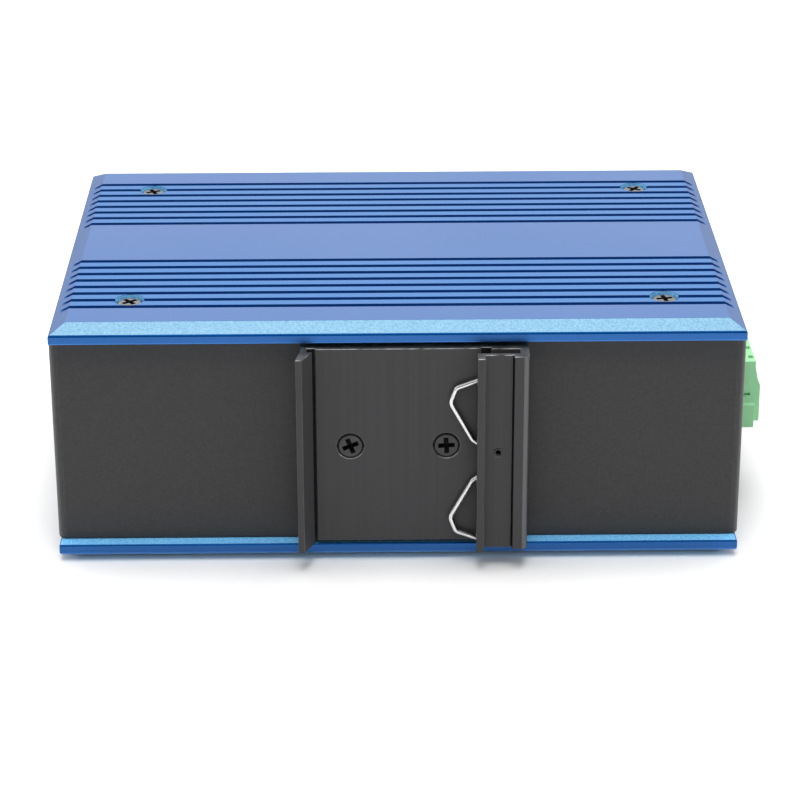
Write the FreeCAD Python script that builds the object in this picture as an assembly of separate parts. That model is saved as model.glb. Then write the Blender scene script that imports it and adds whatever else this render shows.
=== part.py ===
import FreeCAD, Part
import math
import os

# An industrial network switch for a mounting rail, in millimetres. It lies on
# one of its two finned side plates. The rail clip is on the rear, which looks
# towards -Y, the network sockets look towards +Y, and the supply plug leaves
# the end wall at +X. The origin is the middle of the lower plate's outer face.

# ---- Driving dimensions --------------------------------------------------------------

# Finned side plates, cut from an extruded and anodised aluminium bar.
plate_length = 140.0
plate_depth = 100.0
plate_edge = 2.0              # square part of the plate's rim
plate_chamfer_run = 3.3
plate_chamfer_rise = 1.8
groove_count = 8              # in each of the two groups
groove_pitch = 3.8
groove_width = 1.5
groove_depth = 1.05
middle_land = 23.7            # between the centres of the two innermost grooves
plate_screw_inset = 15.25     # from the plate's ends

# Case of folded sheet between the plates.
case_height = 44.4
sheet = 1.2
case_end_step = 0.4           # of the case's end walls past the plates
bend_radius = 1.6             # outside
plate_overhang = 3.0          # of the plates past the rear wall and the front panel
end_flange_width = 20.0
rear_flange_width = 9.0
rear_flange_length = 72.0
panel_flange_width = 21.0
panel_tuck_width = 8.0        # folds of the front panel inside the end walls
panel_tuck_inset = 2.5
fold_relief = 1.0
fold_gap = 0.3                # between folds that lie side by side

# M3 screws and the hexagonal nuts fixed inside the rear wall.
thread_size = 3.0
thread_sides = 12             # threads and their holes are drawn with this many sides
thread_clearance = 0.05       # on the radius, round a screw in its thread
screw_hole = 3.3
screw_tail = 1.8              # past the sheet that it is screwed into
pan_head_size = 5.4
pan_head_height = 1.9
countersunk_head_size = 5.5
head_pocket_size = 6.1
head_pocket_depth = 2.3
countersink_clearance = 0.12
nut_flats = 5.5
nut_height = 1.8

# Rail clip, cut from an extruded aluminium bar and screwed to the rear wall.
# Heights are above the rear wall, and distances are from the case's middle.
clip_end_gap = 0.95           # from each side plate
clip_hook_side = 19.6
clip_lip_side = 26.2
clip_base = 3.5               # holds the rail clear of the side plates' rims
clip_screw_spacing = 19.5
hook_nose = 17.2
hook_slot_depth = 1.2         # behind the nose, for the rail's edge
hook_slot_top = 5.0
hook_tip_height = 9.4
hook_tip_width = 1.3
hook_lean = 0.9
hook_shoulder = 4.0
relief_depth = 0.5
relief_width = 0.6
lip_edge = 15.8
lip_underside = 6.2
lip_rib_width = 1.5
lip_rib_fillet = 0.4
lip_recess_height = 7.3
lip_shoulder_left = 23.1
lip_shoulder_height = 8.3
lip_shoulder_radius = 1.3
lip_notch = 0.25
spring_groove_left = 16.6
lip_seat_left = 18.7
lip_seat_right = 24.4
lip_seat_height = 3.85

# Wire spring under the lip, and the hollow pin pressed into the lip.
wire_size = 1.1
wire_sides = 8                # the wire's round section has this many flats
wire_gap = 0.05
spring_drop = 2.85            # below the middle of the case
spring_bends = [              # distance from the middle, height over the spring's own middle, radius
    (22.6, 17.0, 0.0),
    (17.4, 18.0, 1.5),
    (11.7, 15.9, 1.2),
    (10.5, 12.7, 1.8),
    (14.9, 4.6, 1.5),
    (19.0, 0.0, 1.5)]
pin_size = 1.9
pin_bore = 1.1
pin_from_middle = 20.1
pin_stand = 0.1
pin_foot = 2.4                # height of its inner end

# Circuit board and what carries it.
board_thickness = 1.6
board_left_gap = 2.8          # from the case's inner faces
board_right_gap = 5.8
board_rear_gap = 3.8
board_front_gap = 1.8
support_flats = 6.0
support_neck = 2.6
support_neck_gap = 0.1
support_cap = 3.8
support_cap_height = 1.2
support_end_inset = 26.4      # from the case's outer faces
support_rear_inset = 14.0
support_front_inset = 27.0

# Bank of stacked network sockets.
socket_columns = 4
socket_pitch = 14.0
socket_width = 11.8
socket_height = 6.8
socket_depth = 14.0
latch_slot_width = 6.2
latch_slot_height = 1.5
latch_tip_width = 3.4
latch_tip_height = 0.8
bank_end_inset = 30.4         # from the left end wall
bank_depth = 24.6
bank_wall = 1.1
bank_roof = 0.8
bank_web = 5.8                # between the two rows of sockets
bank_stand = 0.5              # past the front panel
bank_headroom = 2.1           # under the case's upper sheet
shield_sheet = 0.3
panel_gap = 0.4
contact_count = 8
contact_pitch = 1.02
contact_width = 0.4
contact_thickness = 0.35
contact_setback = 3.5         # behind the socket's mouth
contact_rise = 2.0
pipe_window_width = 2.4
pipe_window_height = 1.6
pipe_window_offset = 3.2
pipe_depth = 6.0
pipe_stand = 0.1

# Pluggable supply terminal. Its header is soldered to the board.
poles = 3
pole_pitch = 5.08
plug_near_side = -25.2        # its side towards the clip, along Y
plug_side_wall = 0.3
plug_height = 15.0
plug_length = 18.2
plug_stand = 6.45             # past the end wall
plug_nose_height = 8.4
plug_nose_length = 8.0
plug_wire_face_low = 1.35     # above the plug's underside
plug_wire_face_high = 9.55
plug_step = 1.1
plug_tongue = 0.5
plug_tongue_height = 5.6
plug_slit = 0.6
plug_slit_length = 4.3
plug_notch_width = 0.9
plug_notch_length = 1.6
plug_notch_depth = 1.0
plug_gap = 0.25               # in its header
pin_side = 1.0
pin_reach = 6.6
pin_tail = 2.0                # below the board
pin_setback = 2.5             # of its upright part, behind the header
contact_slot = 2.4
leaf_width = 1.6
leaf_thickness = 0.4
leaf_gap = 0.15
wire_entry = 3.6
wire_entry_height = 5.6       # above the plug's underside
wire_bore = 2.8
clamp_length = 5.3
clamp_width = 3.9
clamp_foot = 2.9              # above the plug's underside
clamp_height = 6.2
clamp_wall = 1.0
clamp_setback = 2.2           # behind the wire face
screw_well = 3.6
terminal_screw_size = 3.4
terminal_screw_sunk = 0.9
driver_slot = 0.7
driver_slot_depth = 0.9
header_wall = 1.0
header_back = 1.4
header_floor = 2.55           # from the board to the space for the plug's nose
cutout_gap = 0.5

# Status lights on the front panel.
status_count = 4
status_first = 26.0
status_pitch = 8.0
status_height = 27.0
status_width = 3.0
status_thickness = 2.0
status_reach = 7.5            # behind the panel's back
led_side = 2.6
led_height = 0.8
led_gap = 0.2

# Power and switching parts on the board.
chip_side = 17.0
chip_height = 1.8
chip_x = 8.0
chip_y = -8.0
chip_bevel = 0.4
pad_height = 1.0
block_side = 24.0
block_bevel = 0.6
transformer_length = 12.4
transformer_width = 9.4
transformer_height = 5.6
transformer_gap = 2.0         # behind the socket bank
capacitor_count = 2
capacitor_size = 8.0
capacitor_height = 12.0
capacitor_first = 4.0
capacitor_pitch = 11.0
capacitor_y = -32.0
capacitor_foot = 1.0
inductor_side = 12.0
inductor_height = 7.0
inductor_x = 36.0
inductor_y = -12.0
inductor_bevel = 1.5

# Earth terminal on the end wall.
earth_y = 15.0

# ---- Places worked out from them -----------------------------------------------------

plate_thickness = plate_edge + plate_chamfer_rise
case_bottom = plate_thickness
case_top = case_bottom + case_height
case_middle = (case_bottom + case_top) / 2
top_face = case_top + plate_thickness
half_length = plate_length / 2
half_depth = plate_depth / 2
rear_wall = -half_depth + plate_overhang
front_wall = half_depth - plate_overhang
panel_back = front_wall - sheet
case_end = half_length + case_end_step
end_wall_inside = case_end - sheet
tapped_hole = thread_size + 2 * thread_clearance
plate_screw_x = half_length - plate_screw_inset
plate_screw_y = middle_land / 2 + (groove_count - 2) * groove_pitch
board_left = board_left_gap - end_wall_inside
board_right = end_wall_inside - board_right_gap
board_rear = rear_wall + sheet + board_rear_gap
board_front = panel_back - board_front_gap
clip_length = case_height - 2 * clip_end_gap
socket_tower = socket_height + latch_slot_height + latch_tip_height
bank_width = (socket_columns - 1) * socket_pitch + socket_width + 2 * bank_wall
bank_middle = bank_end_inset + bank_width / 2 - case_end
bank_height = bank_web + 2 * (socket_tower + bank_roof)
bank_bottom = case_top - sheet - bank_headroom - bank_height
bank_level = bank_bottom + bank_height / 2
board_top = bank_bottom - shield_sheet
board_height = board_top - board_thickness     # its underside
bank_front = front_wall + bank_stand
bank_rear = bank_front - bank_depth
plug_width = poles * pole_pitch + 2 * plug_side_wall
plug_far_side = plug_near_side + plug_width
plug_face = case_end + plug_stand
plug_nose = plug_face - plug_length
plug_shoulder = plug_nose + plug_nose_length
plug_level = board_top + header_floor + plug_nose_height / 2 + plug_gap
plug_bottom = plug_level - plug_height / 2
plug_top = plug_bottom + plug_height
clamp_right = plug_face - clamp_setback
clamp_left = clamp_right - clamp_length
clamp_bottom = plug_bottom + clamp_foot
header_inside = plug_nose - plug_gap
header_left = header_inside - header_back
header_right = plug_shoulder - plug_gap
pin_column = header_left - pin_setback


# ---- Helpers -------------------------------------------------------------------------

def box(low, high):
    size = [high[i] - low[i] for i in range(3)]
    return Part.makeBox(size[0], size[1], size[2], FreeCAD.Vector(*low))


def centred_box(middle, size):
    low = [middle[i] - size[i] / 2 for i in range(3)]
    high = [middle[i] + size[i] / 2 for i in range(3)]
    return box(low, high)


def rod(start, direction, size, length):
    """A cylinder of the given diameter."""
    return Part.makeCylinder(size / 2, length, FreeCAD.Vector(*start), FreeCAD.Vector(*direction))


def prism(corners, sweep):
    """A flat outline of 3-D corners, extruded along the sweep vector."""
    points = [FreeCAD.Vector(*corner) for corner in corners]
    face = Part.Face(Part.makePolygon(points + points[:1]))
    return face.extrude(FreeCAD.Vector(*sweep))


def flatted(sides, flats, height):
    """An even-sided prism, upright at the origin, by its width across flats."""
    radius = flats / 2 / math.cos(math.pi / sides)
    angles = [2 * math.pi * index / sides for index in range(sides)]
    return prism([(radius * math.cos(a), radius * math.sin(a), 0) for a in angles], (0, 0, height))


def near(value, target):
    return abs(value - target) < 0.01


def edges_where(shape, wanted):
    """The edges whose end points all pass the test."""
    return [edge for edge in shape.Edges if all(wanted(vertex.Point) for vertex in edge.Vertexes)]


def upright_edges(shape):
    """The straight edges along Z."""
    edges = []
    for edge in shape.Edges:
        first = edge.Vertexes[0].Point
        last = edge.Vertexes[-1].Point
        if near(first.x, last.x) and near(first.y, last.y) and not near(first.z, last.z):
            edges.append(edge)
    return edges


def placed(shape, position, direction):
    """A copy of a shape drawn at the origin pointing up +Z, turned and moved."""
    turn = FreeCAD.Rotation(FreeCAD.Vector(0, 0, 1), FreeCAD.Vector(*direction))
    copy = shape.copy()
    copy.Placement = FreeCAD.Placement(FreeCAD.Vector(*position), turn).multiply(copy.Placement)
    return copy


def corner_points(x, y):
    return [(-x, -y), (x, -y), (x, y), (-x, y)]


def save(node, shapes):
    if not isinstance(shapes, list):
        shapes = [shapes]
    solids = [solid for shape in shapes for solid in shape.Solids]
    Part.makeCompound(solids).exportStep("parts/" + node + ".step")


# ---- Fasteners, drawn upright with their heads' seats or tops at the origin ----------

def pan_screw(length):
    """The underside of the head is at the origin."""
    head = rod((0, 0, 0), (0, 0, 1), pan_head_size, pan_head_height)
    return head.fuse(placed(flatted(thread_sides, thread_size, length), (0, 0, -length), (0, 0, 1)))


def countersunk_screw(length):
    """The flat top of the head is at the origin, and the length includes the head."""
    cone_height = (countersunk_head_size - thread_size) / 2
    cone = Part.makeCone(thread_size / 2, countersunk_head_size / 2, cone_height,
                         FreeCAD.Vector(0, 0, -cone_height))
    return cone.fuse(placed(flatted(thread_sides, thread_size, length - cone_height / 2),
                            (0, 0, -length), (0, 0, 1)))


# ---- Side plates ---------------------------------------------------------------------

def upper_plate():
    """A slab with four chamfers, two groups of grooves and four screw pockets, outer face up."""
    rim = case_top + plate_edge
    slab = box((-half_length, -half_depth, case_top), (half_length, half_depth, top_face))
    for side in (-1, 1):
        bevel = [(side * half_length, -half_depth, rim),
                 (side * half_length, -half_depth, top_face),
                 (side * (half_length - plate_chamfer_run), -half_depth, top_face)]
        slab = slab.cut(prism(bevel, (0, plate_depth, 0)))
        bevel = [(-half_length, side * half_depth, rim),
                 (-half_length, side * half_depth, top_face),
                 (-half_length, side * (half_depth - plate_chamfer_run), top_face)]
        slab = slab.cut(prism(bevel, (plate_length, 0, 0)))
    for index in range(groove_count):
        for side in (-1, 1):
            row = side * (middle_land / 2 + index * groove_pitch)
            slab = slab.cut(box((-half_length, row - groove_width / 2, top_face - groove_depth),
                                (half_length, row + groove_width / 2, top_face)))
    for x, y in corner_points(plate_screw_x, plate_screw_y):
        slab = slab.cut(rod((x, y, case_top), (0, 0, 1), screw_hole, plate_thickness))
        slab = slab.cut(rod((x, y, top_face - head_pocket_depth), (0, 0, 1),
                            head_pocket_size, head_pocket_depth))
    return slab


def turned_over(shape):
    """The same piece on the other side: half a turn about the case's long middle line."""
    copy = shape.copy()
    copy.rotate(FreeCAD.Vector(0, 0, case_middle), FreeCAD.Vector(1, 0, 0), 180)
    return copy


def lower_plate():
    return turned_over(upper_plate())


def upper_plate_screws():
    seat = top_face - head_pocket_depth
    screw = pan_screw(plate_thickness - head_pocket_depth + sheet + screw_tail)
    return [placed(screw, (x, y, seat), (0, 0, 1)) for x, y in corner_points(plate_screw_x, plate_screw_y)]


# ---- Case ----------------------------------------------------------------------------

def clip_screw_places():
    return [side * clip_screw_spacing / 2 for side in (-1, 1)]


def plate_threads(rows):
    """The threads for the plate screws of the given rows, through both sheets of flanges."""
    thread = flatted(thread_sides, tapped_hole, case_height)
    return [placed(thread, (x, row, case_bottom), (0, 0, 1))
            for row in rows for x in (-plate_screw_x, plate_screw_x)]


def chassis():
    """One sheet, folded into a rear wall, two end walls and the flanges that take the screws."""
    outside = box((-case_end, rear_wall, case_bottom), (case_end, panel_back, case_top))
    inside = box((-end_wall_inside, rear_wall + sheet, case_bottom), (end_wall_inside, panel_back, case_top))
    bends = [edge for edge in upright_edges(outside) if near(edge.Vertexes[0].Point.y, rear_wall)]
    outside = outside.makeFillet(bend_radius, bends)
    bends = [edge for edge in upright_edges(inside) if near(edge.Vertexes[0].Point.y, rear_wall + sheet)]
    inside = inside.makeFillet(bend_radius - sheet, bends)
    case = outside.cut(inside)
    flange_rear = rear_wall + sheet + fold_relief
    flange_front = panel_back - panel_flange_width - fold_gap
    for low in (case_bottom, case_top - sheet):
        high = low + sheet
        for side in (-1, 1):
            middle = side * (end_wall_inside - end_flange_width / 2)
            case = case.fuse(box((middle - end_flange_width / 2, flange_rear, low),
                                 (middle + end_flange_width / 2, flange_front, high)))
        case = case.fuse(box((-rear_flange_length / 2, rear_wall + sheet, low),
                             (rear_flange_length / 2, rear_wall + sheet + rear_flange_width, high)))
    for thread in plate_threads([-plate_screw_y]):
        case = case.cut(thread)
    for x in clip_screw_places():
        case = case.cut(placed(flatted(thread_sides, screw_hole, sheet),
                               (x, rear_wall, case_middle), (0, 1, 0)))
    case = case.cut(placed(flatted(thread_sides, tapped_hole, sheet),
                           (end_wall_inside, earth_y, case_middle), (1, 0, 0)))
    cutout = box((end_wall_inside, plug_near_side - cutout_gap, plug_bottom - cutout_gap),
                 (case_end, plug_far_side + cutout_gap, plug_top + cutout_gap))
    return case.cut(cutout).removeSplitter()


def front_panel():
    """A folded tray that closes the case's mouth, cut out for the socket bank and the lights."""
    panel = box((-case_end, panel_back, case_bottom), (case_end, front_wall, case_top))
    reach = end_wall_inside - fold_gap
    for low in (case_bottom, case_top - sheet):
        panel = panel.fuse(box((-reach, panel_back - panel_flange_width, low),
                               (reach, panel_back, low + sheet)))
    for side in (-1, 1):
        panel = panel.fuse(centred_box(
            (side * (reach - sheet / 2), panel_back - panel_tuck_width / 2, case_middle),
            (sheet, panel_tuck_width, case_height - 2 * panel_tuck_inset)))
    reach = bank_width / 2 + shield_sheet + panel_gap
    rise = bank_height / 2 + shield_sheet + panel_gap
    panel = panel.cut(box((bank_middle - reach, panel_back, bank_level - rise),
                          (bank_middle + reach, front_wall, bank_level + rise)))
    for pipe in panel_light_pipes():
        panel = panel.cut(pipe)
    for thread in plate_threads([plate_screw_y]):
        panel = panel.cut(thread)
    return panel.removeSplitter()


def clip_nuts():
    """Fixed to the inside of the rear wall, behind the clip's screws."""
    nut = flatted(6, nut_flats, nut_height).cut(flatted(thread_sides, tapped_hole, nut_height))
    return [placed(nut, (x, rear_wall + sheet, case_middle), (0, 1, 0)) for x in clip_screw_places()]


# ---- Rail clip -----------------------------------------------------------------------

def on_clip(x, height, z):
    """A point by its distance from the middle, height over the rear wall and level."""
    return FreeCAD.Vector(x, rear_wall - height, z)


def din_clip():
    """A fixed hook on one side and an overhanging lip on the other, one extruded section."""
    slot = hook_nose + hook_slot_depth
    tip = clip_hook_side + hook_lean
    section = [
        (-clip_hook_side, 0),
        (-clip_hook_side, hook_shoulder),
        (-tip, hook_tip_height),
        (-tip + hook_tip_width, hook_tip_height),
        (-hook_nose, hook_slot_top),
        (-slot, hook_slot_top),
        (-slot, clip_base - relief_depth),
        (-hook_nose + relief_width, clip_base - relief_depth),
        (-hook_nose + relief_width, clip_base),
        (spring_groove_left, clip_base),
        (spring_groove_left, clip_base - relief_depth),
        (lip_seat_left, clip_base - relief_depth),
        (lip_seat_left, lip_seat_height),
        (lip_seat_right, lip_seat_height),
        (lip_seat_right, lip_underside),
        (lip_edge, lip_underside),
        (lip_edge, hook_tip_height),
        (lip_edge + lip_rib_width, hook_tip_height),
        (lip_edge + lip_rib_width, lip_recess_height),
        (lip_shoulder_left - lip_notch, lip_recess_height),
        (lip_shoulder_left - lip_notch, lip_recess_height - lip_notch),
        (lip_shoulder_left, lip_recess_height - lip_notch),
        (lip_shoulder_left, lip_shoulder_height),
        (clip_lip_side, lip_shoulder_height),
        (clip_lip_side, 0)]
    low = case_middle - clip_length / 2
    clip = prism([on_clip(x, height, low) for x, height in section], (0, 0, clip_length))
    shoulder = edges_where(clip, lambda point: near(point.x, clip_lip_side)
                           and near(point.y, rear_wall - lip_shoulder_height))
    clip = clip.makeFillet(lip_shoulder_radius, shoulder)
    rib = edges_where(clip, lambda point: near(point.x, lip_edge + lip_rib_width)
                      and near(point.y, rear_wall - lip_recess_height))
    clip = clip.makeFillet(lip_rib_fillet, rib)
    cone_height = (countersunk_head_size - thread_size) / 2
    for x in clip_screw_places():
        clip = clip.cut(rod(on_clip(x, 0, case_middle), (0, -1, 0), screw_hole, clip_base))
        sink = Part.makeCone(thread_size / 2 + countersink_clearance,
                             countersunk_head_size / 2 + countersink_clearance, cone_height,
                             on_clip(x, clip_base - cone_height, case_middle),
                             FreeCAD.Vector(0, -1, 0))
        clip = clip.cut(sink)
    return clip.cut(rod(on_clip(pin_from_middle, pin_foot, case_middle), (0, -1, 0),
                        pin_size, lip_recess_height - pin_foot))


def clip_screws():
    screw = countersunk_screw(clip_base + sheet + nut_height)
    return [placed(screw, on_clip(x, clip_base, case_middle), (0, -1, 0)) for x in clip_screw_places()]


def spring_pin():
    """A hollow pin, pressed through the lip and into the seat below it."""
    length = lip_recess_height + pin_stand - pin_foot
    foot = on_clip(pin_from_middle, pin_foot, case_middle)
    return rod(foot, (0, -1, 0), pin_size, length).cut(rod(foot, (0, -1, 0), pin_bore, length))


def bent_wire_path(bends):
    """Straight runs joined by tangent arcs through corners given as (point, radius)."""
    edges = []
    start = bends[0][0]
    for index in range(1, len(bends) - 1):
        corner, radius = bends[index]
        back = (bends[index - 1][0] - corner).normalize()
        ahead = (bends[index + 1][0] - corner).normalize()
        half_angle = back.getAngle(ahead) / 2
        reach = radius / math.tan(half_angle)
        bisector = (back + ahead).normalize()
        first = corner + back * reach
        last = corner + ahead * reach
        crest = corner + bisector * (radius / math.sin(half_angle) - radius)
        edges.append(Part.LineSegment(start, first).toShape())
        edges.append(Part.Arc(first, crest, last).toShape())
        start = last
    edges.append(Part.LineSegment(start, bends[-1][0]).toShape())
    return Part.Wire(edges)


def rail_spring():
    """One wire with two loops that press on the rail's edge, mirrored about its middle."""
    height = lip_seat_height + wire_gap + wire_size / 2
    middle = case_middle - spring_drop
    upper = [(on_clip(x, height, middle + rise), radius) for x, rise, radius in spring_bends]
    lower = [(on_clip(x, height, middle - rise), radius) for x, rise, radius in spring_bends[-2::-1]]
    path = bent_wire_path(upper + lower)
    start = upper[0][0]
    heading = (upper[1][0] - start).normalize()
    across = heading.cross(FreeCAD.Vector(0, 1, 0))
    radius = wire_size / 2 / math.cos(math.pi / wire_sides)
    ring = []
    for index in range(wire_sides):
        angle = 2 * math.pi * (index + 0.5) / wire_sides
        ring.append(start + across * (radius * math.cos(angle))
                    + FreeCAD.Vector(0, radius * math.sin(angle), 0))
    profile = Part.makePolygon(ring + ring[:1])
    return path.makePipe(Part.Face(profile))


# ---- Board and its supports ----------------------------------------------------------

def support_places():
    reach = case_end - support_end_inset
    rear = rear_wall + support_rear_inset
    front = front_wall - support_front_inset
    return [(x, y) for x in (-reach, reach) for y in (rear, front)]


def main_board():
    board = box((board_left, board_rear, board_height), (board_right, board_front, board_top))
    hole = support_neck + 2 * support_neck_gap
    for x, y in support_places():
        board = board.cut(centred_box((x, y, board_height + board_thickness / 2),
                                      (hole, hole, board_thickness)))
    for pin in header_pins():
        board = board.cut(pin)
    return board


def board_supports():
    """Nylon pillars on the lower plate that snap through the board."""
    height = board_height - case_bottom
    pillar = flatted(6, support_flats, height)
    pillar = pillar.fuse(centred_box((0, 0, height + board_thickness / 2),
                                     (support_neck, support_neck, board_thickness)))
    cap = height + board_thickness
    slope = [(-support_cap / 2, -support_neck / 2, cap), (support_cap / 2, -support_neck / 2, cap),
             (support_neck / 2, -support_neck / 2, cap + support_cap_height),
             (-support_neck / 2, -support_neck / 2, cap + support_cap_height)]
    pillar = pillar.fuse(prism(slope, (0, support_neck, 0)))
    return [placed(pillar, (x, y, case_bottom), (0, 0, 1)) for x, y in support_places()]


# ---- Socket bank ---------------------------------------------------------------------

def column_places():
    first = bank_middle - (socket_columns - 1) * socket_pitch / 2
    return [first + index * socket_pitch for index in range(socket_columns)]


def socket_cavity(x, side):
    """The stepped hole of one socket, its latch slot away from the web between the rows."""
    tower = [(socket_width, socket_height), (latch_slot_width, latch_slot_height),
             (latch_tip_width, latch_tip_height)]
    level = bank_web / 2
    cavity = None
    for width, height in tower:
        step = centred_box((x, bank_front - socket_depth / 2, bank_level + side * (level + height / 2)),
                           (width, socket_depth, height))
        cavity = step if cavity is None else cavity.fuse(step)
        level += height
    return cavity.removeSplitter()


def pipe_windows():
    """The light pipes in the web, two to a column: one for each socket."""
    length = pipe_depth + shield_sheet + pipe_stand
    return [centred_box((x + offset, bank_front - pipe_depth + length / 2, bank_level),
                        (pipe_window_width, length, pipe_window_height))
            for x in column_places() for offset in (-pipe_window_offset, pipe_window_offset)]


def bank_block(skin):
    reach = bank_width / 2 + skin
    return box((bank_middle - reach, bank_rear - skin, bank_bottom - skin),
               (bank_middle + reach, bank_front + skin, bank_bottom + bank_height + skin))


def jack_housing():
    housing = bank_block(0)
    for x in column_places():
        for side in (-1, 1):
            housing = housing.cut(socket_cavity(x, side))
    for pipe in pipe_windows():
        housing = housing.cut(pipe)
    return housing


def jack_shield():
    """A thin folded can round the housing, with a window for each socket and light."""
    shield = bank_block(shield_sheet).cut(bank_block(0))
    for x in column_places():
        for side in (-1, 1):
            level = bank_level + side * (bank_web + socket_tower) / 2
            shield = shield.cut(centred_box((x, bank_front + shield_sheet / 2, level),
                                            (socket_width, shield_sheet, socket_tower)))
    for pipe in pipe_windows():
        shield = shield.cut(pipe)
    return shield


def jack_contacts():
    """Eight sloping spring contacts in each socket, from its floor to its back wall."""
    foot = bank_front - contact_setback
    back = bank_front - socket_depth
    slope = contact_rise / (foot - back)
    profile = [(foot, 0), (foot - contact_thickness / slope, 0),
               (back, contact_rise - contact_thickness), (back, contact_rise)]
    contacts = []
    for x in column_places():
        for side in (-1, 1):
            for index in range(contact_count):
                left = x + (index - (contact_count - 1) / 2) * contact_pitch - contact_width / 2
                corners = [(left, y, bank_level + side * (bank_web / 2 + rise)) for y, rise in profile]
                contacts.append(prism(corners, (contact_width, 0, 0)))
    return contacts


# ---- Supply terminal -----------------------------------------------------------------

def pole_places():
    first = plug_near_side + plug_side_wall + pole_pitch / 2
    return [first + index * pole_pitch for index in range(poles)]


def header_pins():
    """Square pins, bent down behind the header and soldered through the board."""
    pins = []
    for y in pole_places():
        level = centred_box(((pin_column + header_inside + pin_reach) / 2, y, plug_level),
                            (header_inside + pin_reach - pin_column + pin_side, pin_side, pin_side))
        foot = board_height - pin_tail
        upright = box((pin_column - pin_side / 2, y - pin_side / 2, foot),
                      (pin_column + pin_side / 2, y + pin_side / 2, plug_level))
        pins.append(level.fuse(upright).removeSplitter())
    return pins


def terminal_header():
    """An open box on the board that the plug's nose enters."""
    inside = plug_nose_height / 2 + plug_gap
    header = box((header_left, plug_near_side - plug_gap - header_wall, board_top),
                 (header_right, plug_far_side + plug_gap + header_wall, plug_level + inside + header_wall))
    header = header.cut(box((header_inside, plug_near_side - plug_gap, plug_level - inside),
                            (header_right, plug_far_side + plug_gap, plug_level + inside)))
    for pin in header_pins():
        header = header.cut(pin)
    return header


def clamp_block(y):
    return box((clamp_left, y - clamp_width / 2, clamp_bottom),
               (clamp_right, y + clamp_width / 2, clamp_bottom + clamp_height))


def terminal_plug():
    """A moulded body: a nose for the header, a wire face and a screw well under each pole."""
    nose = plug_nose_height / 2
    screw_face = plug_face - plug_step
    wire_high = plug_bottom + plug_wire_face_high
    rise = plug_top - wire_high
    outline = [
        (plug_nose, plug_level - nose),
        (plug_shoulder, plug_level - nose),
        (plug_shoulder, plug_bottom),
        (screw_face, plug_bottom),
        (screw_face, plug_bottom + plug_wire_face_low),
        (plug_face, plug_bottom + plug_wire_face_low),
        (plug_face, wire_high),
        (plug_face - plug_step / 2, wire_high + rise / 4),
        (screw_face, plug_top - rise / 4),
        (screw_face, plug_top),
        (plug_shoulder, plug_top),
        (plug_shoulder, plug_level + nose),
        (plug_nose, plug_level + nose)]
    plug = prism([(x, plug_near_side, z) for x, z in outline], (0, plug_width, 0))
    tongue = [(plug_near_side, plug_bottom),
              (plug_near_side - plug_tongue, plug_bottom),
              (plug_near_side - plug_tongue, plug_bottom + plug_tongue_height - plug_tongue),
              (plug_near_side, plug_bottom + plug_tongue_height)]
    tongue_left = case_end
    plug = plug.fuse(prism([(tongue_left, y, z) for y, z in tongue], (screw_face - tongue_left, 0, 0)))
    plug = plug.cut(box((case_end, plug_near_side, plug_level - plug_slit / 2),
                        (case_end + plug_slit_length, plug_near_side + plug_slit,
                         plug_level + plug_slit / 2)))
    for y in pole_places():
        well_x = (clamp_left + clamp_right) / 2
        entry_z = plug_bottom + wire_entry_height
        plug = plug.cut(clamp_block(y))
        plug = plug.cut(box((clamp_right, y - wire_entry / 2, entry_z - wire_entry / 2),
                            (plug_face, y + wire_entry / 2, entry_z + wire_entry / 2)))
        plug = plug.cut(rod((well_x, y, plug_bottom), (0, 0, 1), screw_well, clamp_foot))
        plug = plug.cut(box((plug_nose, y - contact_slot / 2, plug_level - contact_slot / 2),
                            (clamp_left, y + contact_slot / 2, plug_level + contact_slot / 2)))
        plug = plug.cut(centred_box((screw_face - plug_notch_width, y, plug_top - plug_notch_depth / 2),
                                    (plug_notch_width, plug_notch_length, plug_notch_depth)))
    return plug.removeSplitter()


def terminal_clamps():
    """A cage for each wire, with two leaves that grip the header's pin."""
    clamps = []
    for y in pole_places():
        clamp = clamp_block(y)
        entry_z = plug_bottom + wire_entry_height
        clamp = clamp.cut(box((clamp_left + clamp_wall, y - wire_bore / 2, entry_z - wire_bore / 2),
                              (clamp_right, y + wire_bore / 2, entry_z + wire_bore / 2)))
        for side in (-1, 1):
            level = plug_level + side * (pin_side / 2 + leaf_gap + leaf_thickness / 2)
            clamp = clamp.fuse(box((plug_nose + pin_side, y - leaf_width / 2, level - leaf_thickness / 2),
                                   (clamp_left, y + leaf_width / 2, level + leaf_thickness / 2)))
        clamps.append(clamp)
    return clamps


def terminal_screws():
    """Slotted, sunk in their wells and bearing on the cages."""
    screws = []
    for y in pole_places():
        x = (clamp_left + clamp_right) / 2
        foot = plug_bottom + terminal_screw_sunk
        screw = rod((x, y, foot), (0, 0, 1), terminal_screw_size, clamp_foot - terminal_screw_sunk)
        slot = centred_box((x, y, foot + driver_slot_depth / 2),
                           (terminal_screw_size, driver_slot, driver_slot_depth))
        screws.append(screw.cut(slot))
    return screws


# ---- Status lights -------------------------------------------------------------------

def status_places():
    return [status_first + index * status_pitch for index in range(status_count)]


def panel_light_pipes():
    """Clear elbows from a light on the board to the front panel."""
    pipes = []
    elbow = panel_back - status_reach
    foot = board_top + led_height + led_gap
    half = status_thickness / 2
    for x in status_places():
        left = x - status_width / 2
        outline = [(elbow - half, foot), (elbow + half, foot), (elbow + half, status_height - half),
                   (front_wall + pipe_stand, status_height - half),
                   (front_wall + pipe_stand, status_height + half),
                   (elbow + half, status_height + half), (elbow - half, status_height - half)]
        pipes.append(prism([(left, y, z) for y, z in outline], (status_width, 0, 0)))
    return pipes


def status_leds():
    return [centred_box((x, panel_back - status_reach, board_top + led_height / 2),
                        (led_side, led_side, led_height)) for x in status_places()]


# ---- Parts on the board --------------------------------------------------------------

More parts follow.
